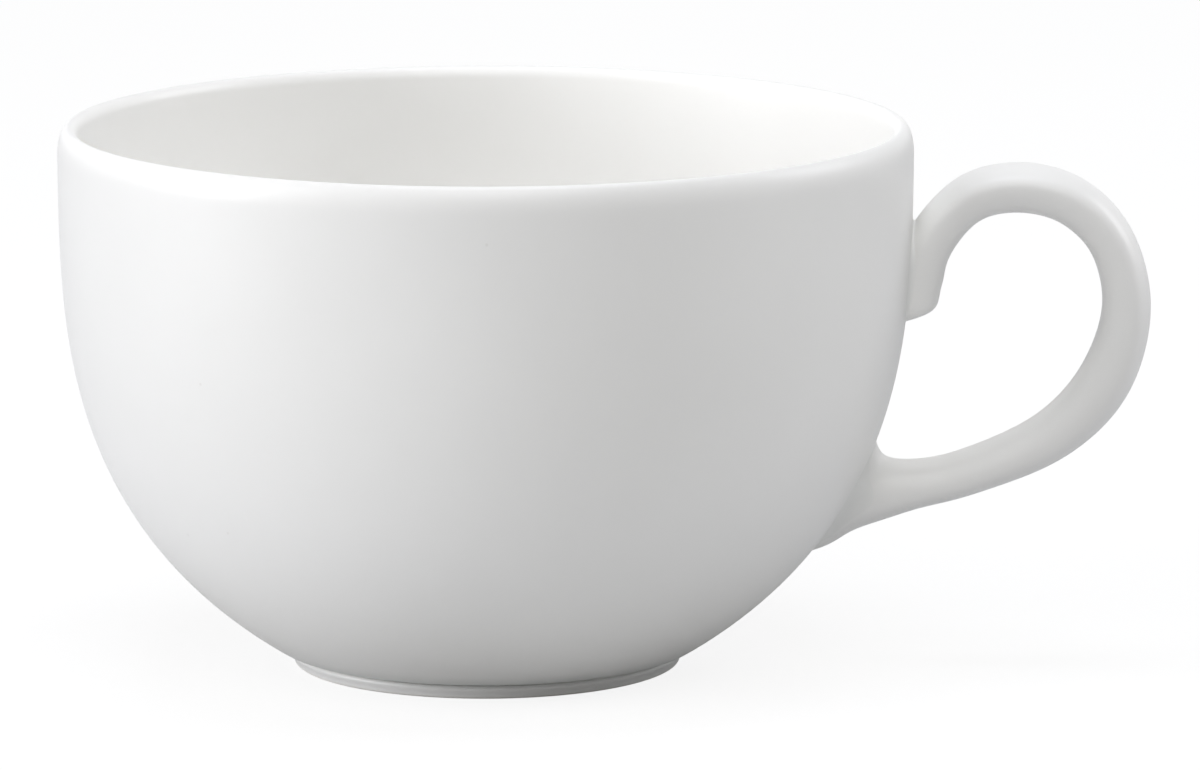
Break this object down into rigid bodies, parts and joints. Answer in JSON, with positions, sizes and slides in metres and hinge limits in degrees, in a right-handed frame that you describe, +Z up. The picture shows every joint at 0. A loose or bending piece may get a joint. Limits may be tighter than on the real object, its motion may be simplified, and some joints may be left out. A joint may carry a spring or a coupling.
{
  "type": "cup",
  "caption": "Low white china cup with a round belly, a low foot ring and one looped strap handle.",
  "frame": {"origin": "centre of the foot ring's flat standing edge, on the plane that the cup stands on", "axes": "+Z up along the axis of the bowl, +X towards the handle, +Y to the side"},
  "size_m": [0.1201, 0.094, 0.06],
  "materials": {
    "glazed_china": "glossy white glaze over fine china, smooth, no decoration",
    "handle_china": "glossy white glaze over cast china, smooth, no decoration",
    "foot_china": "glossy white glaze with a bare, matt standing edge",
    "slip": "fired joining slip, smooth, glazed over"
  },
  "bodies": {
    "root": {"bowl": "glazed_china", "foot_ring": "foot_china", "handle": "handle_china", "upper_slip_joint": "slip", "lower_slip_joint": "slip", "foot_slip_joint": "slip"}
  },
  "joints": []
}
